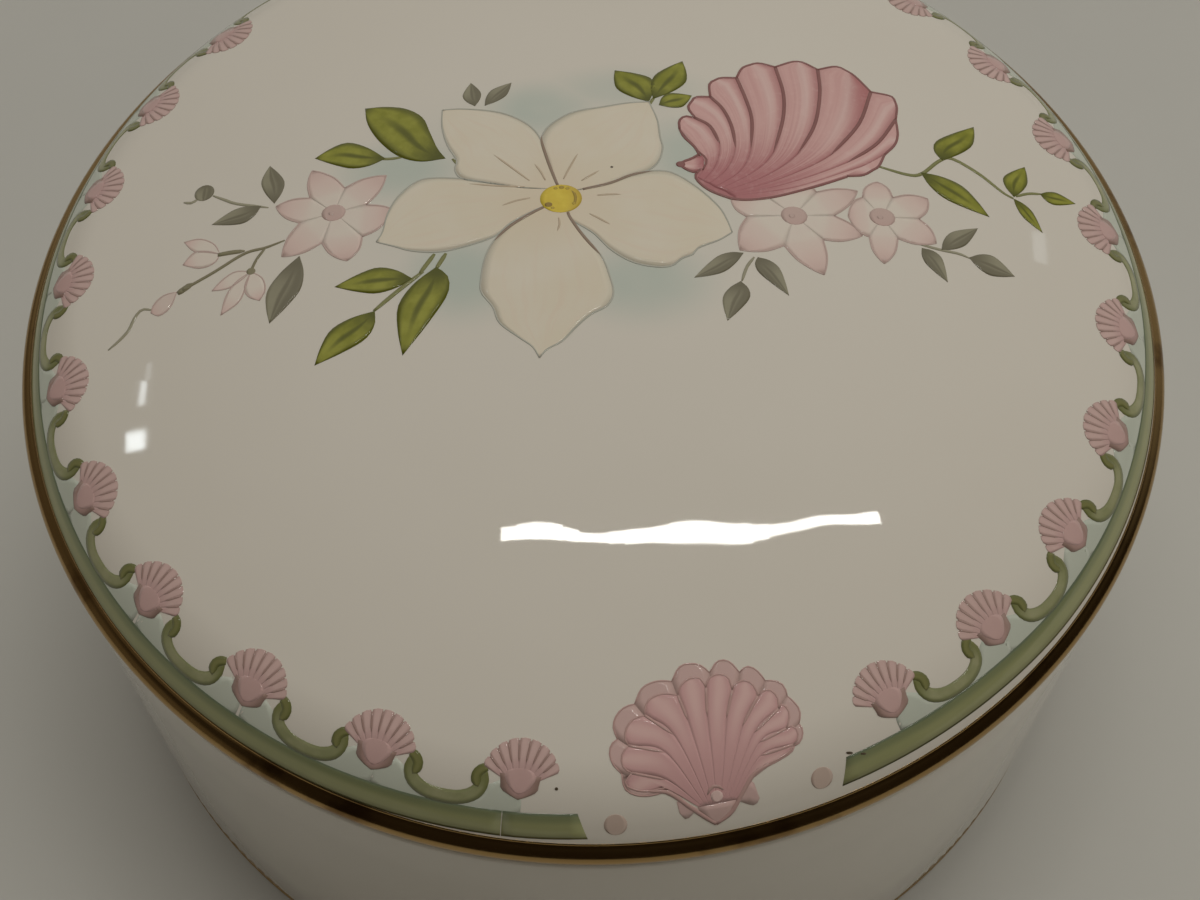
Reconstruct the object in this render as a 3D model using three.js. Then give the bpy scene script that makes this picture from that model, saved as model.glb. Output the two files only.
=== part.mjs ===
// Round porcelain trinket box: a drum base on a foot ring, and a domed lid that drops into its mouth.
// Millimetres, +Z up. The origin is the middle of the foot ring's resting face.
import * as THREE from 'three';

// Driving dimensions of the lid
const lidRadius = 52.0;            // widest circle of the lid, at the middle of its rounded lip
const lipThickness = 2.0;          // the lip is a half round of this thickness
const shoulderRadius = 8.5;        // outer radius of the rolled shoulder, in section
const shoulderTopSlope = 15;       // degrees from level where the dome meets the shoulder
const shoulderFootSlope = 66;      // degrees from level where the shoulder meets the lip
const lidWall = 2.4;               // thickness of the dome
const flangeDepth = 4.5;           // how far the locating flange hangs below the lip
const flangeWall = 2.2;

// Driving dimensions of the base
const baseHeight = 44.1;           // table to the top of the base's rim
const rimSetback = 0.2;            // how far the base's rim stands back from the edge of the lid
const drumTaper = 0.2;             // how much wider the drum is at the foot than at the rim
const drumWall = 2.6;
const floorThickness = 3.0;
const floorFillet = 6.0;           // inside corner between the wall and the floor
const footWidth = 3.0;             // width of the foot ring's resting face
const footRecess = 1.6;            // height of the recess inside the foot ring
const footRound = 1.1;             // outer edge of the foot
const rimRound = 0.8;              // both edges of the base's rim

// Fits
const seatGap = 0.3;               // lip above the base's rim, glaze to glaze
const flangeClearance = 0.7;       // flange inside the base's mouth, on the radius

// How finely the turned shapes are divided
const turnSegments = 72;
const domeSteps = 8;
const shoulderSteps = 6;
const roundSteps = 4;

const radians = THREE.MathUtils.degToRad;

// Points of an arc in section, both ends included. Angles are in degrees from the outward radius.
function arc(centreR, centreZ, radius, startAngle, endAngle, steps) {
  const points = [];
  for (let step = 0; step <= steps; step += 1) {
    const angle = radians(startAngle + (endAngle - startAngle) * step / steps);
    points.push([centreR + radius * Math.cos(angle), centreZ + radius * Math.sin(angle)]);
  }
  return points;
}

// A piece turned about Z from a section of [radius, height] points that starts and ends on the axis.
function turned(section) {
  const points = section.map(([r, z]) => new THREE.Vector2(r, z));
  const geometry = new THREE.LatheGeometry(points, turnSegments);
  geometry.rotateX(Math.PI / 2);
  return geometry;
}

// Heights and radii that the two pieces share
const seatHeight = baseHeight + seatGap;
const rimRadius = lidRadius - rimSetback;
const mouthRadius = rimRadius - drumWall;
const flangeRadius = mouthRadius - flangeClearance;

// The lid: a shallow dome that rolls over a tight shoulder to a half-round lip, with a locating
// flange inside. The inner face follows the outer one at the wall's thickness.
function lidSection() {
  const lipRadius = lipThickness / 2;
  const lipCentre = lidRadius - lipRadius;
  const lipTop = seatHeight + lipThickness;
  const shoulderR = lipCentre - shoulderRadius * Math.sin(radians(shoulderFootSlope));
  const shoulderZ = lipTop - shoulderRadius * Math.cos(radians(shoulderFootSlope));
  const slope = radians(shoulderTopSlope);
  const domeRadius = shoulderR / Math.sin(slope) + shoulderRadius;
  const domeZ = shoulderZ + (shoulderRadius - domeRadius) * Math.cos(slope);
  const innerDome = domeRadius - lidWall;
  const innerShoulder = shoulderRadius - lidWall;
  const flangeBore = flangeRadius - flangeWall;
  const flangeEnd = seatHeight - flangeDepth;
  const flangeRound = flangeWall / 2;
  const boreAngle = THREE.MathUtils.radToDeg(Math.acos((flangeBore - shoulderR) / innerShoulder));
  const topAngle = 90 - shoulderTopSlope;
  return [
    ...arc(0, domeZ, innerDome, 90, topAngle, domeSteps),
    ...arc(shoulderR, shoulderZ, innerShoulder, topAngle, boreAngle, 2).slice(1),
    ...arc(flangeRadius - flangeRound, flangeEnd + flangeRound, flangeRound, -180, 0, roundSteps),
    [flangeRadius, seatHeight],
    ...arc(lipCentre, seatHeight + lipRadius, lipRadius, -90, 90, 2 * roundSteps),
    ...arc(shoulderR, shoulderZ, shoulderRadius, 90 - shoulderFootSlope, topAngle, shoulderSteps).slice(1),
    ...arc(0, domeZ, domeRadius, topAngle, 90, domeSteps).slice(1),
  ];
}

// The base: a drum on a foot ring, open at the top, with a rounded rim and a recess underneath.
function baseSection() {
  const footRadius = rimRadius + drumTaper;
  const recessRadius = footRadius - footRound - footWidth;
  const floorTop = footRecess + floorThickness;
  return [
    [0, footRecess],
    [recessRadius - footRecess, footRecess],
    [recessRadius, 0],
    ...arc(footRadius - footRound, footRound, footRound, -90, 0, roundSteps),
    ...arc(rimRadius - rimRound, baseHeight - rimRound, rimRound, 0, 90, roundSteps),
    ...arc(mouthRadius + rimRound, baseHeight - rimRound, rimRound, 90, 180, roundSteps),
    ...arc(mouthRadius - floorFillet, floorTop + floorFillet, floorFillet, 0, -90, roundSteps),
    [0, floorTop],
  ];
}

function piece(name, section) {
  const china = new THREE.MeshStandardMaterial({ color: 0xe9e2d2, roughness: 0.12, metalness: 0 });
  const mesh = new THREE.Mesh(turned(section), china);
  mesh.name = name;
  return mesh;
}

const trinketBox = new THREE.Group();
trinketBox.add(piece('base', baseSection()), piece('lid', lidSection()));

export default trinketBox;
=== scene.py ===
import math

import bpy
from mathutils import Matrix, Vector


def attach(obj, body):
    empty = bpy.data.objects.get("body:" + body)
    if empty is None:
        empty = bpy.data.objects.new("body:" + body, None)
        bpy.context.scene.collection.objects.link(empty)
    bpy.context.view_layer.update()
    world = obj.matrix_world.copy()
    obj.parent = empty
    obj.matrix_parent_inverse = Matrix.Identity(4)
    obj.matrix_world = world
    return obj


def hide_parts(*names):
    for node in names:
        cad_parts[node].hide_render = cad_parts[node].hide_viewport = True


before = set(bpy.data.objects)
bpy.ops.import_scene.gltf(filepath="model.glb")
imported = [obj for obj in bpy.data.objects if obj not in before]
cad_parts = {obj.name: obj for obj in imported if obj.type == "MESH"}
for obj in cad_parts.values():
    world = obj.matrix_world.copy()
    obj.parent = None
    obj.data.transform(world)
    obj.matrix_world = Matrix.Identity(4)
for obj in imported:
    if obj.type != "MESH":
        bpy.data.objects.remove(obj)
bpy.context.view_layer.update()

# ---------------------------------------------------------------- the room
# A pale, faintly mottled table in daylight, in a room that is dim in front of the box and lighter
# behind it. The glaze mirrors a long tube lamp and a window. The camera looks down at 59 degrees.
scene = bpy.context.scene
mm = 0.001


def node(tree, kind, inputs=None, **settings):
    """Adds a node. An input that is given a socket is linked to it, and one that is given a value is set."""
    made = tree.nodes.new(kind)
    for setting, value in settings.items():
        setattr(made, setting, value)
    for name, value in (inputs or {}).items():
        if isinstance(value, bpy.types.NodeSocket):
            tree.links.new(value, made.inputs[name])
        else:
            made.inputs[name].default_value = value
    return made


def tree_of(*values):
    """The node tree that the first socket among the values belongs to."""
    return next(value.id_data for value in values if isinstance(value, bpy.types.NodeSocket))


def calc(operation, *values):
    """One step of arithmetic on numbers that vary over a surface."""
    return node(tree_of(*values), "ShaderNodeMath", dict(enumerate(values)), operation=operation).outputs[0]


def in_turn(operation, first, others):
    """The first value with the operation done to it with each of the others."""
    for other in others:
        first = calc(operation, first, other)
    return first


def plus(first, *others):
    return in_turn("ADD", first, others)


def times(first, *others):
    return in_turn("MULTIPLY", first, others)


def most(first, *others):
    return in_turn("MAXIMUM", first, others)


def unsigned(value):
    return calc("ABSOLUTE", value)


def fade(value, start, end):
    """0 before start, 1 after end and smooth between them."""
    inputs = {0: value, 1: start, 2: end}
    return node(tree_of(value), "ShaderNodeMapRange", inputs, interpolation_type="SMOOTHSTEP").outputs[0]


def blend(share, under, over):
    """The colour under, covered by the colour over where share is 1. Plain colours are red, green, blue."""
    under, over = [(*colour, 1.0) if isinstance(colour, tuple) else colour for colour in (under, over)]
    return node(tree_of(share), "ShaderNodeMix", {0: share, 6: under, 7: over}, data_type="RGBA").outputs[2]


def clouds(place, size, detail=3.0, roughness=0.55):
    """Soft noise from 0 to 1 with patches of about that size in metres."""
    inputs = {"Vector": place, "Scale": 1.0 / size, "Detail": detail, "Roughness": roughness}
    return node(tree_of(place), "ShaderNodeTexNoise", inputs).outputs["Fac"]


def coloured(shader, colour):
    """Takes the shader's base colour from that socket."""
    shader.id_data.links.new(colour, shader.inputs["Base Color"])


table_half = 1.5
table_mesh = bpy.data.meshes.new("table")
table_corners = [(x * table_half, y * table_half, 0.0) for x, y in ((-1, -1), (1, -1), (1, 1), (-1, 1))]
table_mesh.from_pydata(table_corners, [], [(0, 1, 2, 3)])
table = bpy.data.objects.new("table", table_mesh)
scene.collection.objects.link(table)
table_material = bpy.data.materials.new("pale table")
table_material.use_nodes = True
tree = table_material.node_tree
shader = tree.nodes["Principled BSDF"]
place = node(tree, "ShaderNodeTexCoord").outputs["Object"]
mottle = clouds(place, 0.05)
coloured(shader, blend(mottle, (0.55, 0.55, 0.52), (0.61, 0.61, 0.575)))
shader.inputs["Roughness"].default_value = 0.75
table_mesh.materials.append(table_material)

world = bpy.data.worlds.new("room")
world.use_nodes = True
scene.world = world
tree = world.node_tree
backdrop = tree.nodes["Background"]
direction = node(tree, "ShaderNodeTexCoord").outputs["Generated"]
looking = node(tree, "ShaderNodeSeparateXYZ", {0: direction})
behind = fade(looking.outputs["Y"], -0.45, 0.75)
walls = blend(behind, (0.072, 0.060, 0.046), (0.35, 0.335, 0.309))
mirrored = node(tree, "ShaderNodeLightPath").outputs["Is Glossy Ray"]
upwards = node(tree, "ShaderNodeVectorMath", {0: direction, 1: (0.04, 0.50, 0.86)}, operation="DOT_PRODUCT")
far_wall = blend(fade(looking.outputs["Y"], 0.08, 0.60), (0.020, 0.015, 0.010), (0.27, 0.26, 0.235))
leftwards = fade(looking.outputs["X"], -0.64, -0.84)
far_wall = blend(leftwards, far_wall, (0.10, 0.085, 0.065))
ceiling = blend(fade(upwards.outputs["Value"], 0.75, 1.0), far_wall, (0.50, 0.49, 0.46))
tree.links.new(blend(mirrored, walls, ceiling), backdrop.inputs["Color"])
backdrop.inputs["Strength"].default_value = 1.0

lid_middle = Vector((0.0, 0.0, 50.0)) * mm


def lamp(name, left, right, width, brightness, tint, glossy=True):
    """A flat lamp from left to right, in metres, that faces the lid and is as bright all over its face."""
    left = Vector(left)
    right = Vector(right)
    light = bpy.data.lights.new(name, "AREA")
    light.shape = "RECTANGLE"
    light.size = (right - left).length
    light.size_y = width
    light.color = tint
    light.energy = brightness * math.pi * light.size * light.size_y
    hung = bpy.data.objects.new(name, light)
    scene.collection.objects.link(hung)
    middle = (left + right) / 2
    along = (right - left).normalized()
    back = (middle - lid_middle).normalized()
    up = back.cross(along).normalized()
    back = along.cross(up)
    hung.matrix_world = Matrix.Translation(middle) @ Matrix((along, up, back)).transposed().to_4x4()
    hung.visible_glossy = glossy


warm = (1.0, 0.955, 0.875)
daylight = (0.90, 0.97, 1.0)
lamp("soft lamp above", (-0.45, 0.12, 1.2), (0.65, 0.12, 1.2), 0.7, 1.49, warm, glossy=False)
lamp("soft lamp at the right", (1.0, -0.7, 0.45), (1.0, 0.3, 0.45), 0.5, 0.92, warm, glossy=False)
# The tube is seen through an uneven shade, so its width and its line change along it.
tube_width = (0.018, 0.024, 0.013, 0.022, 0.030, 0.029, 0.014, 0.014, 0.017)
tube_stray = (0.002, 0.003, -0.006, -0.007, -0.006, -0.010, -0.009, 0.0, 0.001)
tube_lengths = 24


def between(values, share):
    """The value at that share of the way along a list, with soft turns."""
    spot = share * (len(values) - 1)
    low = min(int(spot), len(values) - 2)
    soft = 0.5 - 0.5 * math.cos(math.pi * (spot - low))
    return values[low] + (values[low + 1] - values[low]) * soft


for part in range(tube_lengths):
    ends = []
    for share in (part / tube_lengths, (part + 1) / tube_lengths):
        back = 0.123 + 0.006 * share + 0.031 * share ** 3 + between(tube_stray, share)
        ends.append((-0.130 + 0.513 * share, back, 0.936 - 0.078 * share ** 2.4))
    across = between(tube_width, (part + 0.5) / tube_lengths)
    lamp(f"tube lamp {part + 1}", ends[0], ends[1], across, 24.0, (1.0, 0.985, 0.93))
lamp("window pane low", (-0.5985, 0.290, 0.6915), (-0.5715, 0.290, 0.7005), 0.030, 15.0, daylight)
lamp("window pane high", (-0.5755, 0.355, 0.6735), (-0.5675, 0.355, 0.6765), 0.034, 9.0, daylight)
lamp("window pane top", (-0.568, 0.386, 0.6665), (-0.561, 0.386, 0.6690), 0.028, 2.2, daylight)
lamp("glint of the doorway", (0.536, 0.546, 0.558), (0.554, 0.546, 0.552), 0.050, 1.5, daylight)

eye = Vector((0.0, -92.1, 173.5)) * mm
aim = Vector((0.5, -15.5, 46.4)) * mm
camera_data = bpy.data.cameras.new("camera")
camera_data.lens = 51.0
camera_data.sensor_width = 36.0
camera_data.clip_start = 0.005
camera = bpy.data.objects.new("camera", camera_data)
camera.location = eye
camera.rotation_euler = (aim - eye).to_track_quat("-Z", "Y").to_euler()
scene.collection.objects.link(camera)
scene.camera = camera
scene.view_settings.view_transform = "Standard"

# ---------------------------------------------------------------- base
# The bowl is one piece of cast porcelain, turned on its axis: a straight drum on a low
# foot, rounded inside at the floor. It is glazed all over but for the ring it stands on.
turns = 240


def arc(r, z, radius, start, end, steps):
    """Points on part of a circle in the section, from start to end in degrees, measured up from outwards."""
    angles = [math.radians(start + (end - start) * step / steps) for step in range(steps + 1)]
    return [(r + radius * math.cos(angle), z + radius * math.sin(angle)) for angle in angles]


def new_tree(name, inputs):
    """An empty Geometry Nodes tree with one geometry in, one out and the named inputs between them."""
    tree = bpy.data.node_groups.new(name, "GeometryNodeTree")
    tree.interface.new_socket("Geometry", in_out="INPUT", socket_type="NodeSocketGeometry")
    for socket, kind in inputs.items():
        tree.interface.new_socket(socket, in_out="INPUT", socket_type="NodeSocket" + kind)
    tree.interface.new_socket("Geometry", in_out="OUTPUT", socket_type="NodeSocketGeometry")
    return tree


def new_object(name, points, edges=(), faces=()):
    mesh = bpy.data.meshes.new(name)
    mesh.from_pydata(points, list(edges), list(faces))
    made = bpy.data.objects.new(name, mesh)
    scene.collection.objects.link(made)
    return made


def run_tree(made, tree, values):
    """Runs the tree on the object with these inputs, and keeps the result as the object's plain mesh."""
    modifier = made.modifiers.new(tree.name, "NODES")
    modifier.node_group = tree
    for socket in tree.interface.items_tree:
        if socket.in_out == "INPUT" and socket.name in values:
            modifier[socket.identifier] = values[socket.name]
    made.data.update()
    state = bpy.context.evaluated_depsgraph_get()
    shown = made.evaluated_get(state)
    finished = bpy.data.meshes.new_from_object(shown, preserve_all_data_layers=True, depsgraph=state)
    made.modifiers.remove(modifier)
    made.data = finished
    finished.name = made.name


turned_tree = new_tree("turned", {"Turns": "Int", "Material": "Material"})
tree = turned_tree
given = node(tree, "NodeGroupInput")
section_sizes = node(
    tree, "GeometryNodeAttributeDomainSize", {0: given.outputs["Geometry"]}, component="MESH",
)
section_size = section_sizes.outputs[0]
columns = plus(given.outputs["Turns"], 1.0)
sheet = node(tree, "GeometryNodeMeshGrid", {"Vertices X": columns, "Vertices Y": section_size})
index = node(tree, "GeometryNodeInputIndex").outputs[0]
turn = calc("FLOOR", calc("DIVIDE", plus(index, 0.5), section_size))
step = calc("SUBTRACT", index, times(turn, section_size))
section_place = node(
    tree, "GeometryNodeSampleIndex",
    {
        "Geometry": given.outputs["Geometry"], "Value": node(tree, "GeometryNodeInputPosition").outputs[0],
        "Index": step,
    },
    data_type="FLOAT_VECTOR", domain="POINT",
)
angle = times(calc("DIVIDE", turn, given.outputs["Turns"]), math.tau)
placed = node(
    tree, "ShaderNodeVectorRotate", {"Vector": section_place.outputs[0], "Angle": angle},
    rotation_type="Z_AXIS",
)
wrapped = node(
    tree, "GeometryNodeSetPosition", {"Geometry": sheet.outputs["Mesh"], "Position": placed.outputs[0]},
)
closed = node(tree, "GeometryNodeMergeByDistance", {"Geometry": wrapped.outputs[0], "Distance": 0.002 * mm})
smooth = node(tree, "GeometryNodeSetShadeSmooth", {"Geometry": closed.outputs[0]})
real = node(tree, "GeometryNodeRealizeInstances", {"Geometry": smooth.outputs[0]})
finished = node(
    tree, "GeometryNodeSetMaterial", {"Geometry": real.outputs[0], "Material": given.outputs["Material"]},
)
node(tree, "NodeGroupOutput", {"Geometry": finished.outputs[0]})


def turned(name, section, material, body):
    """A closed piece turned from its section, given in millimetres as (distance from the axis, height)."""
    points = [(r * mm, 0.0, z * mm) for r, z in section]
    edges = [(first, first + 1) for first in range(len(points) - 1)]
    made = new_object(name, points, edges)
    run_tree(made, turned_tree, {"Turns": turns, "Material": material})
    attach(made, body)
    return made


glaze = bpy.data.node_groups.new("glaze", "ShaderNodeTree")
for socket in ("Wave", "Gloss"):
    glaze.interface.new_socket(socket, in_out="INPUT", socket_type="NodeSocketFloat")
glaze.interface.new_socket("Roughness", in_out="OUTPUT", socket_type="NodeSocketFloat")
glaze.interface.new_socket("Normal", in_out="OUTPUT", socket_type="NodeSocketVector")
tree = glaze
given = node(tree, "NodeGroupInput")
place = node(tree, "ShaderNodeTexCoord").outputs["Object"]
wave = clouds(place, 0.016, detail=1.5)
peel = clouds(place, 0.0035, detail=1.0)
height = calc("MULTIPLY_ADD", peel, 0.03, wave)
bump = node(tree, "ShaderNodeBump", {"Strength": 1.0, "Distance": given.outputs["Wave"], "Height": height})
smear = fade(clouds(place, 0.02, detail=4.0, roughness=0.65), 0.45, 0.75)
dull = calc("MULTIPLY_ADD", smear, 0.03, given.outputs["Gloss"])
node(tree, "NodeGroupOutput", {"Roughness": dull, "Normal": bump.outputs[0]})


glaze_wave = 0.06 * mm
china_gloss = 0.022
enamel_gloss = 0.05


def glazed(name, gloss=china_gloss):
    """A material under the clear glaze, and the sockets that its colour needs."""
    material = bpy.data.materials.new(name)
    material.use_nodes = True
    tree = material.node_tree
    shader = tree.nodes["Principled BSDF"]
    coat = node(tree, "ShaderNodeGroup", {}, node_tree=glaze)
    coat.inputs["Wave"].default_value = glaze_wave
    coat.inputs["Gloss"].default_value = gloss
    tree.links.new(coat.outputs["Roughness"], shader.inputs["Roughness"])
    tree.links.new(coat.outputs["Normal"], shader.inputs["Normal"])
    return material, tree, shader


def china_colour(place):
    """Warm white porcelain with the faint clouding of its glaze and a few iron specks."""
    tree = place.id_data
    cloud = clouds(place, 0.03)
    body = blend(cloud, (0.715, 0.675, 0.598), (0.755, 0.720, 0.652))
    grains = node(tree, "ShaderNodeTexVoronoi", {"Vector": place, "Scale": 160.0, "Randomness": 1.0})
    grain_tone = node(tree, "ShaderNodeSeparateColor", {0: grains.outputs["Color"]}).outputs[0]
    few = calc("GREATER_THAN", grain_tone, 0.985)
    speck = times(calc("LESS_THAN", grains.outputs["Distance"], 0.022), few)
    return blend(speck, body, (0.30, 0.24, 0.17))


china, tree, shader = glazed("glazed china")
place = node(tree, "ShaderNodeTexCoord").outputs["Object"]
spread = node(tree, "ShaderNodeSeparateXYZ", {0: place})
bare = calc("LESS_THAN", spread.outputs["Z"], 0.35 * mm)
grit = clouds(place, 0.0006, detail=2.0)
biscuit = blend(grit, (0.60, 0.55, 0.46), (0.72, 0.68, 0.60))
coloured(shader, blend(bare, china_colour(place), biscuit))
coat_roughness = shader.inputs["Roughness"].links[0].from_socket
tree.links.new(most(coat_roughness, times(bare, 0.7)), shader.inputs["Roughness"])

foot_middle = 50.9
foot_round = 1.1
foot_recess = 1.6
rim_round = 0.8
rim_middle = 43.3
mouth_radius = 49.2
floor_fillet = 6.0
floor_height = 4.6
base_section = [(0.0, foot_recess)]
base_section += arc(45.8, 1.2, 0.4, 90, 45, 3)
base_section += arc(48.0, 0.5, 0.5, 225, 270, 3)
base_section += arc(foot_middle, foot_round, foot_round, -90, 0, 6)
base_section += [(51.96, 12.0), (51.90, 24.0), (51.84, 36.0)]
base_section += arc(51.0, rim_middle, rim_round, 0, 90, 6)
base_section += arc(50.0, rim_middle, rim_round, 90, 180, 6)
base_section += [(mouth_radius, 32.0), (mouth_radius, 21.0)]
base_section += arc(mouth_radius - floor_fillet, floor_height + floor_fillet, floor_fillet, 0, -90, 12)
base_section += [(30.0, floor_height), (15.0, floor_height), (0.0, floor_height)]
base = turned("base_china", base_section, china, "base")
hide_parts("base")

# ---------------------------------------------------------------- lid
# The lid is cast in one piece too: a low dome that rolls over a tight shoulder to a thin
# lip, with a ring inside that drops into the bowl. The flowers' pale blue ground is sprayed on.
dome_radius = 175.547
dome_centre = -118.412
dome_reach = 45.958
shoulder_radius = 8.5
shoulder_r = 43.235
shoulder_z = 42.943
lid_wall = 2.4
flange_outer = 48.5
flange_bore = 46.3
lip_middle = (51.0, 45.4)
lip_round = 1.0

sprayed_china, tree, shader = glazed("glazed china with sprayed ground")
place = node(tree, "ShaderNodeTexCoord").outputs["Object"]
body = china_colour(place)
spread = node(tree, "ShaderNodeSeparateXYZ", {0: place})
uneven = clouds(place, 0.009, detail=2.0)


def spray(centre, reach, strength):
    """A soft patch of sprayed colour, in millimetres on the lid's top: 1 at its middle, 0 at its reach."""
    sideways = calc("DIVIDE", calc("SUBTRACT", spread.outputs["X"], centre[0] * mm), reach[0] * mm)
    away = calc("DIVIDE", calc("SUBTRACT", spread.outputs["Y"], centre[1] * mm), reach[1] * mm)
    far = calc("SQRT", plus(times(sideways, sideways), times(away, away)))
    return times(fade(far, 1.0, 0.15), strength)


halo = spray((-3.5, 5.0), (22.0, 16.0), 0.50)
for centre, reach, strength in (
    ((-4.7, 14.8), (7.0, 5.0), 1.0),
    ((8.0, 9.0), (6.0, 6.5), 0.9),
    ((4.2, -5.0), (8.5, 6.0), 0.9),
    ((-11.2, -4.2), (7.5, 6.5), 0.95),
    ((-17.0, 8.0), (8.0, 5.0), 0.9),
    ((3.0, 17.5), (10.0, 4.0), 0.6),
):
    halo = most(halo, spray(centre, reach, strength))
from_centre = node(
    tree, "ShaderNodeVectorMath", {0: place, 1: (0.0, 0.0, -dome_centre * mm)}, operation="ADD",
)
from_centre = node(tree, "ShaderNodeVectorMath", {0: from_centre.outputs[0]}, operation="LENGTH")
outside = calc("GREATER_THAN", from_centre.outputs["Value"], (dome_radius - lid_wall / 2) * mm)
halo = times(halo, outside, fade(uneven, -0.3, 0.62))
coloured(shader, blend(halo, body, (0.525, 0.588, 0.528)))

dome = arc(0.0, dome_centre, dome_radius, 75, 90, 36)
shoulder = arc(shoulder_r, shoulder_z, shoulder_radius, 24, 75, 22)
ceiling = arc(0.0, dome_centre, dome_radius - lid_wall, 90, 75, 24)
inner_shoulder = arc(shoulder_r, shoulder_z, shoulder_radius - lid_wall, 75, 60, 6)
lid_section = ceiling + inner_shoulder[1:]
lid_section += [(flange_bore, 46.0), (flange_bore, 43.5)]
lid_section += arc(47.4, 41.0, 1.1, 180, 360, 12)
lid_section += arc(flange_outer + 0.3, 44.1, 0.3, 180, 90, 4)
lid_section += arc(*lip_middle, lip_round, -90, 82, 14)
lid_section += shoulder + dome[1:]
lid = turned("lid_china", lid_section, sprayed_china, "lid")
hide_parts("lid")

# ---------------------------------------------------------------- gilding
# Burnished gold is painted by brush round the lid's lip while it turns on a wheel, and a thin
# line of it round the foot. It is a little streaky from handling. Its colour is kept dark all over, and
# darker in patches, which are partly wear and partly a painted dark reflection of the dim room in front.
gold = bpy.data.materials.new("burnished gold")
gold.use_nodes = True
tree = gold.node_tree
shader = tree.nodes["Principled BSDF"]
shader.inputs["Metallic"].default_value = 1.0
place = node(tree, "ShaderNodeTexCoord").outputs["Object"]
streaks = node(tree, "ShaderNodeMapping", {"Vector": place, "Scale": (60.0, 60.0, 2500.0)})
brushed = node(
    tree, "ShaderNodeTexNoise", {"Vector": streaks.outputs[0], "Scale": 1.0, "Detail": 3.0},
).outputs["Fac"]
# painted dark reflection and wear: the gold's colour is darkened, and darker still in these patches, so it
# reads dark
worn_and_dark_reflection = fade(clouds(place, 0.007, detail=4.0), 0.56, 0.72)
tone = blend(brushed, (0.34, 0.215, 0.083), (0.50, 0.335, 0.142))
coloured(shader, blend(worn_and_dark_reflection, tone, (0.20, 0.115, 0.045)))
tree.links.new(calc("MULTIPLY_ADD", brushed, 0.12, 0.14), shader.inputs["Roughness"])
gold_bump = node(tree, "ShaderNodeBump", {"Strength": 0.6, "Distance": 0.00002, "Height": brushed})
tree.links.new(gold_bump.outputs[0], shader.inputs["Normal"])


def gilt(name, outside, inside, body):
    """A thin closed ring of gold: its outer face, and the face sunk in the china."""
    turned(name, outside + inside[::-1] + outside[:1], gold, body)


gold_height = 0.03
gold_depth = 0.07
lip_faces = []
for height in (gold_height, -gold_depth):
    over_lip = arc(*lip_middle, lip_round + height, -75, 78, 14)
    lip_faces.append(over_lip + arc(shoulder_r, shoulder_z, shoulder_radius + height, 24.6, 26.3, 2))
gilt("gilt_lip", *lip_faces, "lid")
foot_faces = []
for height, edge in ((gold_height, 52.0), (-0.08, 51.9)):
    foot_faces.append(arc(foot_middle, foot_round, foot_round + height, -15, 0, 2) + [(edge, 2.0)])
gilt("gilt_foot", *foot_faces, "base")

# ---------------------------------------------------------------- green band
# The border is a printed transfer laid round the lid by hand and fired on. Its green band runs just
# inside the gilding. It has two slanted ends at the front, a hairline joint, and it wanders a little.


def new_design():
    """An empty design, drawn on the lid's top laid out flat, and what each of its points carries."""
    return {"points": [], "faces": [], "smooth": [], "along": [], "across": [], "part": []}


def flowing(points, steps=8):
    """A smooth line through the points, which are in millimetres on the lid's top laid out flat."""
    spots = [Vector(point) for point in points]
    spots = [2 * spots[0] - spots[1]] + spots + [2 * spots[-1] - spots[-2]]
    line = []
    for a, b, c, d in zip(spots, spots[1:], spots[2:], spots[3:]):
        for step in range(steps):
            t = step / steps
            square = (2 * a - 5 * b + 4 * c - d) * t * t
            cube = (3 * b - a - 3 * c + d) * t ** 3
            line.append(0.5 * (2 * b + (c - a) * t + square + cube))
    return line + [spots[-2]]


def evenly(line, count):
    """The same line with count points at even distances."""
    reach = [0.0]
    for a, b in zip(line, line[1:]):
        reach.append(reach[-1] + (b - a).length)
    spaced = []
    piece = 0
    for number in range(count):
        wanted = reach[-1] * number / (count - 1)
        while piece < len(line) - 2 and reach[piece + 1] < wanted:
            piece += 1
        length = reach[piece + 1] - reach[piece]
        share = (wanted - reach[piece]) / length if length else 0.0
        spaced.append(line[piece].lerp(line[piece + 1], min(share, 1.0)))
    return spaced


enamel_height = 0.017
layer_height = 0.008
enamel_depth = 0.05
closed_row = 0.004
stroke_step = 0.4


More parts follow.
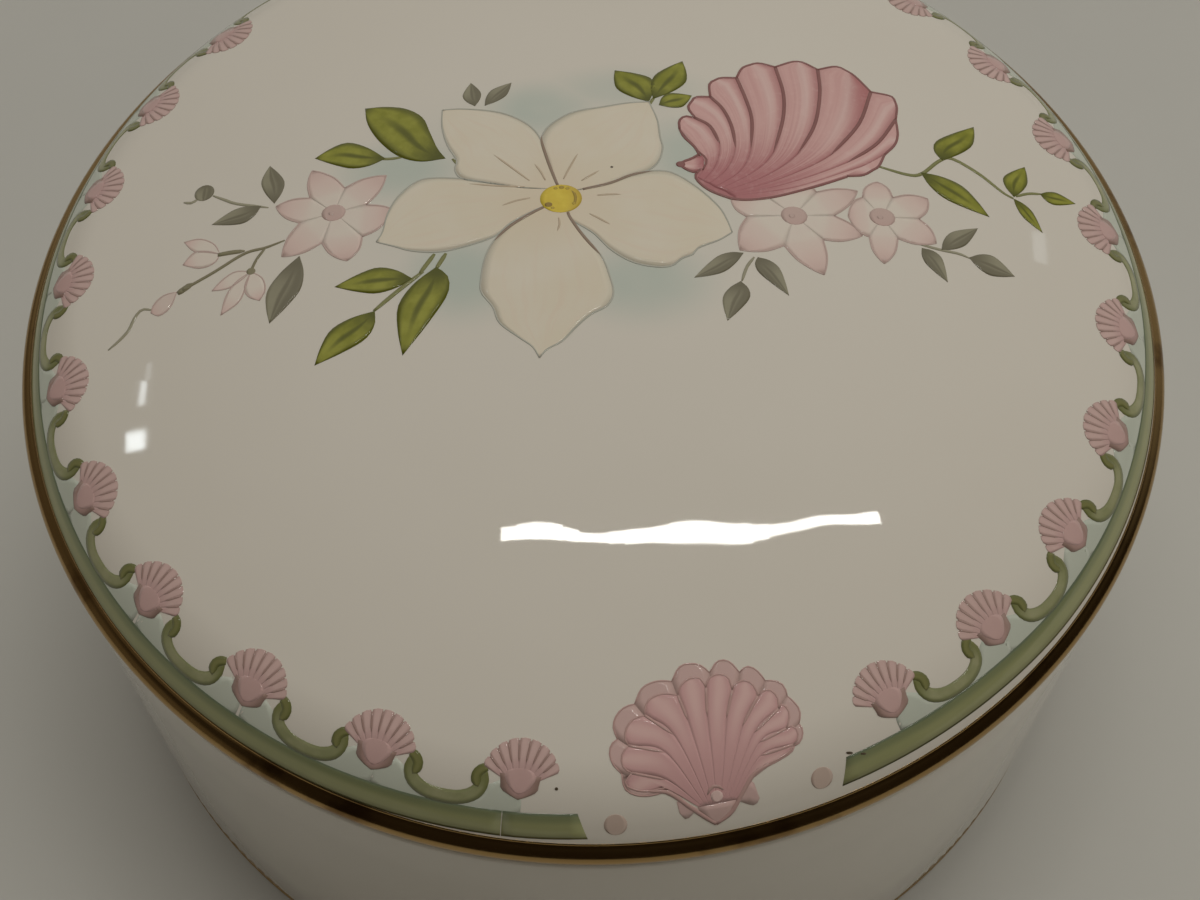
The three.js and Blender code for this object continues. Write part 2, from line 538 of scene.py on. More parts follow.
def add_plate(design, rows, part, layer):
    """Adds a thin closed plate of enamel from rows of points, each with its place along and across it."""
    outline = [row[0] for row in rows] + rows[-1][1:-1]
    outline += [row[-1] for row in reversed(rows)] + rows[0][-2:0:-1]
    area = sum(a.cross(b) for a, b in zip(outline, outline[1:] + outline[:1]))
    sides = []
    for height in (enamel_height + layer_height * layer, -enamel_depth):
        numbers = []
        for i, row in enumerate(rows):
            single = (row[-1] - row[0]).length < closed_row
            line = []
            for j, point in enumerate(row):
                if single and line:
                    line.append(line[0])
                    continue
                line.append(len(design["points"]))
                design["points"].append((point.x * mm, point.y * mm, height * mm))
                design["along"].append(i / (len(rows) - 1))
                design["across"].append(0.0 if single else 2 * j / (len(row) - 1) - 1)
                design["part"].append(part)
            numbers.append(line)
        sides.append(numbers)
    top, bottom = sides
    last = len(rows[0]) - 1

    def add_face(corners, smooth):
        kept = [corner for number, corner in enumerate(corners) if corner != corners[number - 1]]
        if len(kept) > 2:
            design["faces"].append(kept)
            design["smooth"].append(smooth)

    for i in range(len(rows) - 1):
        for j in range(last):
            for numbers, upwards in ((top, area < 0), (bottom, area > 0)):
                quad = [numbers[i][j], numbers[i][j + 1], numbers[i + 1][j + 1], numbers[i + 1][j]]
                add_face(quad if upwards else quad[::-1], True)
    for numbers in (top, bottom):
        edge = [line[0] for line in numbers] + numbers[-1][1:last]
        edge += [line[-1] for line in reversed(numbers)] + numbers[0][last - 1:0:-1]
        numbers.append([corner for number, corner in enumerate(edge) if corner != edge[number - 1]])
    for a, b, c, d in zip(top[-1], top[-1][1:] + top[-1][:1], bottom[-1][1:] + bottom[-1][:1], bottom[-1]):
        add_face([a, b, c, d] if area < 0 else [d, c, b, a], False)


def add_shape(design, left, right, rows=12, columns=5, part=0.0, layer=0):
    """Fills between two side lines that run from the foot of a leaf, petal or rib to its tip."""
    left = evenly(flowing(left), rows + 1)
    right = evenly(flowing(right), rows + 1)
    grid = [[a.lerp(b, j / columns) for j in range(columns + 1)] for a, b in zip(left, right)]
    add_plate(design, grid, part, layer)


def add_rib(design, feet, ends, crown, rows, columns, part, layer):
    """Fills a rib or petal. It shares each side with a neighbour up to the notch, and closes at its crown."""
    sides = []
    for foot, end in zip(feet, ends):
        line = evenly(flowing(foot), rows)
        sides.append(line + evenly(flowing([foot[-1], *end, crown]), rows // 3 + 2)[1:])
    grid = [[a.lerp(b, j / columns) for j in range(columns + 1)] for a, b in zip(*sides)]
    add_plate(design, grid, part, layer)


def add_stroke(design, points, width, rows=None, part=0.0, layer=1, ends=(0.0, 0.0), columns=2):
    """A brush or pen line of that width along the points, narrowed to these shares of it at its ends."""
    line = flowing(points)
    length = sum((b - a).length for a, b in zip(line, line[1:]))
    rows = rows or max(4, int(length / stroke_step))
    line = evenly(line, rows + 1)
    grid = []
    for i, point in enumerate(line):
        ahead = line[min(i + 1, rows)] - line[max(i - 1, 0)]
        out = Vector((-ahead.y, ahead.x)).normalized()
        t = i / rows
        swell = 1 - (1 - ends[0]) * max(0, 1 - t / 0.3) ** 2 - (1 - ends[1]) * max(0, (t - 0.7) / 0.3) ** 2
        half = 0.5 * width * max(swell, 0.0)
        grid.append([point + out * half * (1 - 2 * j / columns) for j in range(columns + 1)])
    add_plate(design, grid, part, layer)


def drawn_object(name, design):
    """The design as an object, with what its points carry."""
    made = new_object(name, design["points"], (), design["faces"])
    made.data.polygons.foreach_set("use_smooth", design["smooth"])
    for label in ("along", "across", "part"):
        attribute = made.data.attributes.new(label, "FLOAT", "POINT")
        attribute.data.foreach_set("value", design[label])
    return made


# The transfer's own run round the lid: the wander is a curve of how far it strays from a true circle.
hand_laid = new_tree("laid by hand", {"Stray": "Float"})
tree = hand_laid
given = node(tree, "NodeGroupInput")
flat = node(tree, "ShaderNodeSeparateXYZ", {0: node(tree, "GeometryNodeInputPosition").outputs[0]})
bearing = calc("ARCTAN2", flat.outputs["Y"], flat.outputs["X"])
round_share = plus(calc("DIVIDE", bearing, math.tau), 0.5)
wander = node(tree, "ShaderNodeFloatCurve", {"Value": round_share})
strays = (
    (-180, 0.25), (-150, 0.5), (-125, 0.4), (-98, 0.0), (-64, -0.7), (-40, -0.3), (-10, 0.05), (90, 0.1),
    (180, 0.25),
)
curve = wander.mapping.curves[0]
while len(curve.points) < len(strays):
    curve.points.new(0.5, 0.5)
for point, (degrees, stray) in zip(curve.points, strays):
    point.location = (degrees / 360 + 0.5, 0.5 + stray / 2)
wander.mapping.update()
stray = times(calc("SUBTRACT", wander.outputs[0], 0.5), times(given.outputs["Stray"], 2.0))
plan = node(tree, "ShaderNodeCombineXYZ", {0: flat.outputs["X"], 1: flat.outputs["Y"]}).outputs[0]
flat_reach = node(tree, "ShaderNodeVectorMath", {0: plan}, operation="LENGTH").outputs["Value"]
share = calc("DIVIDE", stray, flat_reach)
shift = node(
    tree, "ShaderNodeCombineXYZ",
    {0: times(flat.outputs["X"], share), 1: times(flat.outputs["Y"], share)},
)
moved = node(
    tree, "GeometryNodeSetPosition", {"Geometry": given.outputs["Geometry"], "Offset": shift.outputs[0]},
)
node(tree, "NodeGroupOutput", {"Geometry": moved.outputs[0]})

# Firing lays a flat design over the dome and shoulder, with its distances measured along the glaze.
fired = new_tree(
    "fired onto the lid",
    {
        "Dome radius": "Float", "Dome centre": "Float", "Dome reach": "Float", "Shoulder radius": "Float",
        "Material": "Material",
    },
)
tree = fired
given = node(tree, "NodeGroupInput")
flat = node(tree, "ShaderNodeSeparateXYZ", {0: node(tree, "GeometryNodeInputPosition").outputs[0]})
plan = node(tree, "ShaderNodeCombineXYZ", {0: flat.outputs["X"], 1: flat.outputs["Y"]}).outputs[0]
reach = node(tree, "ShaderNodeVectorMath", {0: plan}, operation="LENGTH").outputs["Value"]
outwards = node(tree, "ShaderNodeVectorMath", {0: plan}, operation="NORMALIZE").outputs[0]
heading = node(tree, "ShaderNodeSeparateXYZ", {0: outwards})
dome_turn = calc(
    "DIVIDE", calc("MINIMUM", reach, given.outputs["Dome reach"]), given.outputs["Dome radius"],
)
over = most(calc("SUBTRACT", reach, given.outputs["Dome reach"]), 0.0)
slope = plus(dome_turn, calc("DIVIDE", over, given.outputs["Shoulder radius"]))
distance = {}
for name, operation in (("out", "SINE"), ("up", "COSINE")):
    dome_part = times(given.outputs["Dome radius"], calc(operation, dome_turn))
    bend = calc("SUBTRACT", calc(operation, slope), calc(operation, dome_turn))
    shoulder_part = calc("MULTIPLY_ADD", given.outputs["Shoulder radius"], bend, dome_part)
    distance[name] = calc("MULTIPLY_ADD", flat.outputs["Z"], calc(operation, slope), shoulder_part)
up = plus(distance["up"], given.outputs["Dome centre"])
lid_place = node(
    tree, "ShaderNodeCombineXYZ",
    {
        0: times(distance["out"], heading.outputs["X"]),
        1: times(distance["out"], heading.outputs["Y"]),
        2: up,
    },
)
laid = node(
    tree, "GeometryNodeSetPosition",
    {"Geometry": given.outputs["Geometry"], "Position": lid_place.outputs[0]},
)
real = node(tree, "GeometryNodeRealizeInstances", {"Geometry": laid.outputs[0]})
finished = node(
    tree, "GeometryNodeSetMaterial", {"Geometry": real.outputs[0], "Material": given.outputs["Material"]},
)
node(tree, "NodeGroupOutput", {"Geometry": finished.outputs[0]})


def fire(made, material):
    """Fires a flat design onto the lid, which carries it from then on."""
    run_tree(
        made, fired,
        {
            "Dome radius": dome_radius * mm, "Dome centre": dome_centre * mm, "Dome reach": dome_reach * mm,
            "Shoulder radius": shoulder_radius * mm, "Material": material,
        },
    )
    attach(made, "lid")


def drawn(tree, *labels):
    """What the design carries: its place along (0 to 1) or across (-1 to 1) a shape, or its part number."""
    values = [node(tree, "ShaderNodeAttribute", attribute_name=label).outputs["Fac"] for label in labels]
    return values if len(values) > 1 else values[0]


def within(value, low, high):
    """1 where the value lies between low and high, and 0 elsewhere."""
    return times(calc("GREATER_THAN", value, low), calc("LESS_THAN", value, high))


def enamel(name):
    """A material for printed enamel, and the place on it."""
    material, tree, shader = glazed(name, enamel_gloss)
    return material, tree, shader, node(tree, "ShaderNodeTexCoord").outputs["Object"]


def ring_point(bearing, reach):
    """The point at that bearing in degrees and that distance from the middle."""
    return Vector((math.cos(math.radians(bearing)), math.sin(math.radians(bearing)))) * reach


band_in = 50.62
band_out = 52.92
band_step = 1.2
band_columns = 8
band_green, tree, shader, place = enamel("green band enamel")
across = drawn(tree, "across")
wash = clouds(place, 0.006)
middle = blend(wash, (0.285, 0.305, 0.140), (0.375, 0.380, 0.200))
streaky = plus(across, calc("MULTIPLY_ADD", wash, 0.3, -0.15))
inner = blend(fade(streaky, 0.0, 0.65), middle, (0.225, 0.250, 0.130))
lined = blend(fade(streaky, 0.70, 0.95), inner, (0.135, 0.165, 0.105))
lined = blend(fade(streaky, -0.35, -0.80), lined, (0.240, 0.245, 0.115))
outer = fade(across, -0.78, -0.98)
coloured(shader, blend(outer, lined, (0.130, 0.135, 0.065)))

band = new_design()
for start, end in ((-67.3, 261.64), (261.72, 268.8)):
    rows = []
    count = max(6, int((end - start) / band_step))
    for i in range(count + 1):
        bearing = start + (end - start) * i / count
        slant = 0.5 * (i == 0 and start < -60) - 0.45 * (i == count and end > 262)
        shares = [j / band_columns for j in range(band_columns + 1)]
        row = [
            ring_point(bearing - slant + 2 * slant * t, band_out + (band_in - band_out) * t)
            for t in shares
        ]
        rows.append(row)
    add_plate(band, rows, 0.0, 0)
band = drawn_object("green_band", band)
run_tree(band, hand_laid, {"Stray": 1.0 * mm})
fire(band, band_green)

# ---------------------------------------------------------------- border scrolls
# Under each pair of shells hangs a green scroll whose curled ends tuck against them. The same transfer
# has a pale blue-green ground between the scrolls and the band.
ring_reach = 47.15
first_bearing = -60.9
shell_spacing = 13.50
shell_count = 25

bordered = new_tree(
    "border run",
    {
        "Count": "Int", "Ring radius": "Float", "First bearing": "Float", "Spacing": "Float",
        "Unevenness": "Float", "Seed": "Int",
    },
)
tree = bordered
given = node(tree, "NodeGroupInput")
marks = node(tree, "GeometryNodeMeshLine", {"Count": given.outputs["Count"]}, mode="OFFSET")
number = node(tree, "GeometryNodeInputIndex").outputs[0]
off = node(tree, "FunctionNodeRandomValue", {"Seed": given.outputs["Seed"]}, data_type="FLOAT_VECTOR")
off.inputs["Min"].default_value = (-1, -1, -1)
jitter = node(tree, "ShaderNodeSeparateXYZ", {0: off.outputs[0]})
uneven_turn = times(jitter.outputs["X"], given.outputs["Unevenness"])
even_bearing = calc("MULTIPLY_ADD", number, given.outputs["Spacing"], given.outputs["First bearing"])
pulled = times(fade(even_bearing, math.radians(255), math.radians(205)), math.radians(-1.9))
pulled = times(pulled, fade(even_bearing, math.radians(110), math.radians(170)))
even_bearing = plus(even_bearing, pulled)
bearing = calc("MULTIPLY_ADD", uneven_turn, 0.006, even_bearing)
mark_place = node(
    tree, "ShaderNodeCombineXYZ",
    {
        0: times(calc("COSINE", bearing), given.outputs["Ring radius"]),
        1: times(calc("SINE", bearing), given.outputs["Ring radius"]),
    },
)
ring = node(
    tree, "GeometryNodeSetPosition", {"Geometry": marks.outputs[0], "Position": mark_place.outputs[0]},
)
lean = times(jitter.outputs["Y"], times(given.outputs["Unevenness"], 0.06))
facing = node(tree, "ShaderNodeCombineXYZ", {2: plus(bearing, math.pi / 2, lean)})
size = calc("MULTIPLY_ADD", times(jitter.outputs["Z"], given.outputs["Unevenness"]), 0.025, 1.0)
sizes = node(tree, "ShaderNodeCombineXYZ", {0: size, 1: size, 2: 1.0})
copies = node(
    tree, "GeometryNodeInstanceOnPoints",
    {
        "Points": ring.outputs[0], "Instance": given.outputs["Geometry"], "Rotation": facing.outputs[0],
        "Scale": sizes.outputs[0],
    },
)
tinted = node(
    tree, "GeometryNodeStoreNamedAttribute",
    {
        "Geometry": copies.outputs[0], "Name": "tone",
        "Value": node(tree, "FunctionNodeRandomValue", {"Seed": 5}, data_type="FLOAT").outputs[1],
    },
    data_type="FLOAT", domain="INSTANCE",
)
real = node(tree, "GeometryNodeRealizeInstances", {"Geometry": tinted.outputs[0]})
node(tree, "NodeGroupOutput", {"Geometry": real.outputs[0]})


def run_border(name, design, count, first, unevenness, material):
    """Repeats a design drawn with inwards up round the border, and fires it on."""
    made = drawn_object(name, design)
    run_tree(
        made, bordered,
        {
            "Count": count, "Ring radius": ring_reach * mm, "First bearing": math.radians(first),
            "Spacing": math.radians(shell_spacing), "Unevenness": unevenness, "Seed": 3,
        },
    )
    run_tree(made, hand_laid, {"Stray": 1.0 * mm})
    fire(made, material)


scroll_bearing = first_bearing + shell_spacing / 2
scroll_green, tree, shader, place = enamel("green scroll enamel")
across, along, part = drawn(tree, "across", "along", "part")
wash = clouds(place, 0.002)
core = blend(fade(wash, 0.3, 0.7), (0.285, 0.300, 0.155), (0.375, 0.375, 0.220))
rim = fade(unsigned(plus(across, 0.15)), 0.30, 1.0)
body = blend(rim, core, (0.190, 0.205, 0.090))
curl = fade(unsigned(calc("SUBTRACT", along, 0.5)), 0.26, 0.46)
body = blend(times(curl, 0.8), body, (0.180, 0.190, 0.070))
bulb = blend(fade(unsigned(across), 0.1, 0.9), (0.215, 0.215, 0.085), (0.150, 0.160, 0.055))
body = blend(part, body, bulb)
coloured(shader, body)


def disc(design, centre, across_radius, along_radius, part=0.0, layer=2, rows=10, columns=6):
    """Fills a round or oval dot from its top to its foot."""
    sides = []
    for turn in (1, -1):
        angles = [math.radians(90 + turn * step * 22.5) for step in range(9)]
        round_points = [
            (across_radius * math.cos(angle), along_radius * math.sin(angle))
            for angle in angles
        ]
        sides.append([(centre[0] + x, centre[1] + y) for x, y in round_points])
    add_shape(design, sides[0], sides[1], rows, columns, part, layer)


def mirrored_points(points):
    return [(-x, y) for x, y in points]


scroll = new_design()
swag = [(-2.62, -0.45), (-2.86, -1.25), (-2.50, -2.15), (-1.45, -2.78), (0.0, -2.95)]
add_stroke(
    scroll, swag + mirrored_points(swag[-2::-1]), 1.14, rows=24, part=0.0, layer=1, ends=(0.72, 0.72),
    columns=4,
)
for side in (-1, 1):
    hook = [
        (side * 2.98, -0.12), (side * 2.55, -0.42), (side * 2.30, -0.85), (side * 2.38, -1.35),
        (side * 2.62, -1.75),
    ]
    add_stroke(scroll, hook, 0.80, rows=8, part=1.0, layer=1.6, ends=(0.75, 0.0), columns=3)
run_border("border_scrolls", scroll, shell_count - 1, scroll_bearing, 0.6, scroll_green)

ground_blue, tree, shader, place = enamel("pale blue ground")
veil = clouds(place, 0.004)
body = blend(veil, (0.52, 0.565, 0.485), (0.60, 0.63, 0.55))
coloured(shader, body)
ground = new_design()
scroll_side = [(0.0, -3.45), (1.6, -3.25), (2.8, -2.55), (3.2, -1.5), (4.2, -0.8)]
band_side = [(0.0, -3.52), (2.2, -3.50), (4.0, -3.40), (6.05, -3.2), (5.85, -1.6)]
add_shape(ground, scroll_side, band_side, rows=10, columns=6, layer=-0.9)
add_shape(ground, mirrored_points(scroll_side), mirrored_points(band_side), rows=10, columns=6, layer=-0.9)
run_border("border_ground", ground, shell_count - 1, scroll_bearing, 0.0, ground_blue)

# ---------------------------------------------------------------- border shells
# Twenty-five small rose scallops stand on the border with their hinges towards the gilding. Each has
# nine ribs that part near the scalloped margin, a smooth palm and a dusky square hinge with a point.
small_rose, tree, shader, place = enamel("small shell enamel")
across, along, part, tone = drawn(tree, "across", "along", "part", "tone")
wash = clouds(place, 0.0012)
crest = blend(wash, (0.615, 0.425, 0.400), (0.700, 0.520, 0.485))
valley = fade(unsigned(across), 0.30, 1.0)
body = blend(times(valley, 0.85), crest, (0.450, 0.300, 0.275))
palm = fade(along, 0.60, 0.25)
body = blend(palm, body, blend(wash, (0.560, 0.375, 0.360), (0.625, 0.425, 0.405)))
body = blend(times(fade(along, 0.84, 1.0), 0.6), body, (0.455, 0.335, 0.290))
hinge = blend(fade(unsigned(across), 0.2, 1.0), (0.475, 0.310, 0.290), (0.330, 0.225, 0.190))
hinge = blend(fade(along, 0.6, 1.0), hinge, (0.300, 0.215, 0.180))
body = blend(calc("GREATER_THAN", part, 0.85), body, hinge)
smooth = within(part, 0.15, 0.25)
smooth_rose = blend(wash, (0.585, 0.390, 0.372), (0.640, 0.440, 0.418))
smooth_rose = blend(fade(along, 0.72, 1.0), smooth_rose, (0.550, 0.358, 0.342))
body = blend(smooth, body, smooth_rose)
line = within(part, 0.35, 0.65)
body = blend(line, body, (0.390, 0.265, 0.235))
body = blend(times(fade(tone, 0.2, 1.0), 0.22), body, (0.50, 0.36, 0.32))
coloured(shader, body)

shell = new_design()
rib_count = 9
fan_start = 159
fan_spread = 138
umbo = Vector((0.0, -1.25))


def shell_edge(edge):
    """The foot and the notch of a line between two ribs, counted from the left."""
    angle = fan_start - fan_spread * edge / rib_count
    foot = Vector((1.22 - 2.44 * (1 - edge / rib_count), -1.05 + 0.10 * math.sin(math.radians(angle))))
    return foot, umbo + ring_point(angle, 3.00 + 0.32 * math.sin(math.radians(angle)) ** 2)


for rib in range(rib_count):
    sides = []
    angle = fan_start - fan_spread * (rib + 0.5) / rib_count
    top = umbo + ring_point(angle, 3.17 + 0.36 * math.sin(math.radians(angle)) ** 2)
    for foot, notch in (shell_edge(rib), shell_edge(rib + 1)):
        corner = notch.lerp(top, 0.45) + (top - umbo).normalized() * 0.07
        sides.append([foot, foot.lerp(notch, 0.5), notch, corner, top])
    add_shape(shell, sides[0], sides[1], rows=9, columns=4, part=0.0, layer=2)
    if rib:
        foot, notch = shell_edge(rib)
        add_stroke(
            shell, [notch, foot.lerp(notch, 0.72), foot.lerp(notch, 0.45)], 0.16, rows=4, part=0.5,
            layer=2.6, ends=(1.0, 0.0),
        )
block = [(-1.62, -0.55), (-1.50, -1.10), (-1.42, -1.68), (-0.80, -2.10), (0.0, -2.45)]
add_shape(shell, block, mirrored_points(block), rows=8, columns=6, part=1.0, layer=2.6)
palm_left = [(0.0, -0.05), (-0.80, -0.18), (-1.22, -0.62), (-1.00, -1.20), (-0.55, -1.75), (0.0, -2.02)]
add_shape(shell, palm_left, mirrored_points(palm_left), rows=10, columns=6, part=0.2, layer=3.0)
run_border("border_shells", shell, shell_count, first_bearing, 1.0, small_rose)

# ---------------------------------------------------------------- front scallop
# A larger rose scallop fills the gap in the border: a dusky back valve, and over it a paler one
# whose ribs fan out of a small knob at the hinge. A rose dot stands on each side.
front_rose, tree, shader, place = enamel("front shell enamel")
across, along, part = drawn(tree, "across", "along", "part")
wash = clouds(place, 0.0025)
ridge = fade(unsigned(plus(across, -0.05)), 0.80, 0.05)
rib_body = blend(wash, (0.620, 0.370, 0.368), (0.665, 0.410, 0.403))
ridge = times(ridge, fade(along, 0.30, 0.66), 0.95)
rib_body = blend(ridge, rib_body, (0.740, 0.505, 0.480))
valley = times(fade(unsigned(across), 0.65, 1.0), fade(along, 0.45, 0.72))
rib_body = blend(times(valley, 0.6), rib_body, (0.550, 0.345, 0.330))
rib_body = blend(times(fade(along, 0.42, 0.05), 0.55), rib_body, (0.640, 0.370, 0.375))
rib_body = blend(times(fade(along, 0.86, 1.0), 0.8), rib_body, (0.520, 0.310, 0.305))
dusk = blend(fade(along, 0.86, 1.0), (0.640, 0.455, 0.430), (0.520, 0.380, 0.330))
dusk = blend(times(fade(unsigned(across), 0.55, 1.0), 0.6), dusk, (0.520, 0.360, 0.325))
body = blend(calc("GREATER_THAN", part, 0.9), rib_body, dusk)
pen = within(part, 0.45, 0.55)
body = blend(pen, body, blend(wash, (0.500, 0.320, 0.295), (0.580, 0.385, 0.360)))
light = within(part, 0.15, 0.25)
body = blend(light, body, (0.78, 0.58, 0.55))
dot = within(part, 0.65, 0.75)
dot_rose = blend(fade(unsigned(across), 0.75, 1.0), (0.600, 0.480, 0.415), (0.540, 0.410, 0.350))
body = blend(dot, body, dot_rose)
coloured(shader, body)


def fan(design, hinge, notches, tops, part, layer, rows, columns, bends=None):
    """Ribs that fan from the hinge, between notches and through the bends if given, to round tops."""
    feet = [Vector(hinge[0]).lerp(Vector(hinge[1]), i / (len(notches) - 1)) for i in range(len(notches))]
    bends = bends or [foot.lerp(Vector(notch), 0.5) for foot, notch in zip(feet, notches)]
    for i, top in enumerate(tops):
        before, crown, after = [Vector(point) for point in top]
        lines = [[feet[edge], Vector(bends[edge]), Vector(notches[edge])] for edge in (i, i + 1)]
        add_rib(design, lines, ([before], [after]), crown, rows, columns, part, layer)


front = new_design()
back_notches = [
    (5.9, -48.5), (1.95, -47.3), (1.65, -44.7), (3.0, -42.05), (5.9, -40.3), (8.85, -39.6), (11.2, -39.55),
    (13.2, -40.15), (14.9, -41.3), (15.75, -43.4), (15.4, -45.1), (12.3, -47.1),
]
back_tops = [
    [(4.2, -48.95), (3.0, -48.9), (2.2, -48.4)], [(1.3, -46.6), (1.05, -45.8), (1.2, -45.1)],
    [(1.35, -43.8), (1.6, -42.9), (2.3, -42.25)], [(3.5, -40.95), (4.2, -40.45), (5.1, -40.25)],
    [(6.5, -39.2), (7.4, -38.9), (8.3, -39.1)], [(9.4, -38.8), (10.0, -38.6), (10.6, -38.85)],
    [(11.6, -39.15), (12.1, -39.1), (12.7, -39.5)], [(13.8, -40.15), (14.4, -40.3), (14.75, -40.75)],
    [(15.35, -41.7), (15.8, -42.3), (15.85, -42.9)], [(16.0, -43.8), (16.0, -44.3), (15.8, -44.8)],
    [(15.2, -45.5), (14.5, -46.0), (13.4, -46.6)],
]
fan(front, ((8.6, -49.6), (10.2, -49.2)), back_notches, back_tops, 1.0, 1, rows=15, columns=5)
for ear in (
    [(7.9, -50.0), (7.1, -50.9), (6.5, -50.4), (6.3, -49.3)],
    [(10.8, -49.3), (12.4, -49.8), (12.8, -49.2), (11.9, -47.6)],
):
    add_shape(
        front, [ear[0], ear[1], ear[2]], [ear[0], ear[3], ear[2]], rows=6, columns=3, part=1.0, layer=1,
    )
notches = [
    (5.3, -48.35), (2.75, -47.25), (2.5, -45.2), (3.75, -42.9), (6.35, -41.35), (8.55, -40.75),
    (10.6, -40.9), (12.6, -41.35), (14.2, -42.3), (14.75, -43.8), (15.3, -45.0), (12.4, -46.95),
]
tops = [
    [(4.2, -48.6), (3.1, -48.55), (2.2, -48.05)], [(2.15, -46.9), (1.95, -46.2), (2.15, -45.6)],
    [(2.25, -44.7), (2.35, -43.9), (2.9, -43.2)], [(3.85, -42.2), (4.2, -41.65), (5.2, -41.25)],
    [(6.5, -40.75), (7.2, -40.1), (8.1, -40.05)], [(8.75, -40.1), (9.5, -39.7), (10.3, -39.95)],
    [(10.75, -40.5), (11.6, -40.15), (12.3, -40.6)], [(12.8, -41.1), (13.5, -40.85), (14.1, -41.4)],
    [(14.4, -41.95), (14.9, -42.3), (15.0, -43.0)], [(15.1, -43.6), (15.6, -43.9), (15.6, -44.6)],
    [(15.0, -45.5), (14.4, -45.95), (13.3, -46.5)],
]
bends = [
    (6.65, -49.1), (5.4, -47.75), (5.3, -45.7), (6.0, -44.4), (7.1, -43.3), (8.6, -43.0), (10.1, -43.1),
    (11.3, -43.7), (12.2, -44.2), (12.6, -44.9), (12.7, -45.9), (11.65, -48.1),
]
fan(front, ((8.0, -49.9), (10.9, -49.3)), notches, tops, 0.0, 2.5, rows=18, columns=6, bends=bends)
add_shape(
    front, [(7.9, -49.9), (8.2, -50.5), (9.5, -51.4)], [(10.9, -49.3), (10.7, -50.4), (9.5, -51.4)], rows=5,
    columns=4, part=1.0, layer=2.5,
)
for notch, bend in zip(notches[1:-1], bends[1:-1]):
    add_stroke(front, [notch, bend], 0.22, part=0.5, layer=3.2, ends=(0.9, 0.0))
for top, a, b in zip(tops, notches, notches[1:]):
    add_stroke(front, [a, *top, b], 0.15, part=0.5, layer=3.2, ends=(0.7, 0.7))
left_flank = [(4.1, -48.65), (5.6, -48.75), (7.3, -49.9), (8.6, -50.8), (9.5, -51.4)]
right_flank = [(13.4, -46.5), (12.2, -47.3), (11.4, -48.7), (10.6, -50.4), (9.5, -51.4)]
for flank in (left_flank, right_flank):
    add_stroke(front, flank, 0.34, part=0.5, layer=4, ends=(0.2, 0.7))
add_stroke(
    front, [(8.6, -48.9), (8.85, -48.35), (9.35, -48.2), (9.85, -48.5)], 0.26, part=0.5, layer=4,
    ends=(0.3, 0.3),
)
disc(front, (9.35, -49.0), 0.50, 0.45, part=0.2, layer=4, rows=6, columns=4)
for top, a, b in zip(back_tops, back_notches, back_notches[1:]):
    add_stroke(front, [a, *top, b], 0.13, part=0.5, layer=2.0, ends=(0.6, 0.6))
for centre in ((1.5, -51.35), (17.8, -47.6)):
    disc(front, centre, 0.92, 0.92, part=0.7, layer=0)
fire(drawn_object("front_scallop", front), front_rose)

# ---------------------------------------------------------------- pale flower
# The large flower has five cream petals, shaded peach where they meet under a yellow eye. They are
# printed in soft tints, and their outlines and veins are drawn over them with a fine pen.
cream, tree, shader, place = enamel("cream petal enamel")
across, along, part = drawn(tree, "across", "along", "part")
fibres = node(tree, "ShaderNodeCombineXYZ", {0: times(across, 3.0), 1: along, 2: part})
streak = node(
    tree, "ShaderNodeTexNoise", {"Vector": fibres.outputs[0], "Scale": 2.2, "Detail": 3.0},
).outputs["Fac"]
wash = clouds(place, 0.007)
base_tint = blend(fade(wash, 0.3, 0.75), (0.765, 0.695, 0.555), (0.785, 0.730, 0.615))
blushed = blend(times(fade(streak, 0.45, 0.75), 0.35), base_tint, (0.770, 0.640, 0.515))
warm_foot = times(fade(plus(along, times(streak, 0.25)), 0.55, 0.10), 0.35)
throated = blend(warm_foot, blushed, (0.74, 0.60, 0.42))
rim = times(fade(unsigned(across), 0.82, 1.0), fade(along, 0.15, 0.4))
coloured(shader, blend(times(rim, 0.35), throated, (0.66, 0.66, 0.57)))

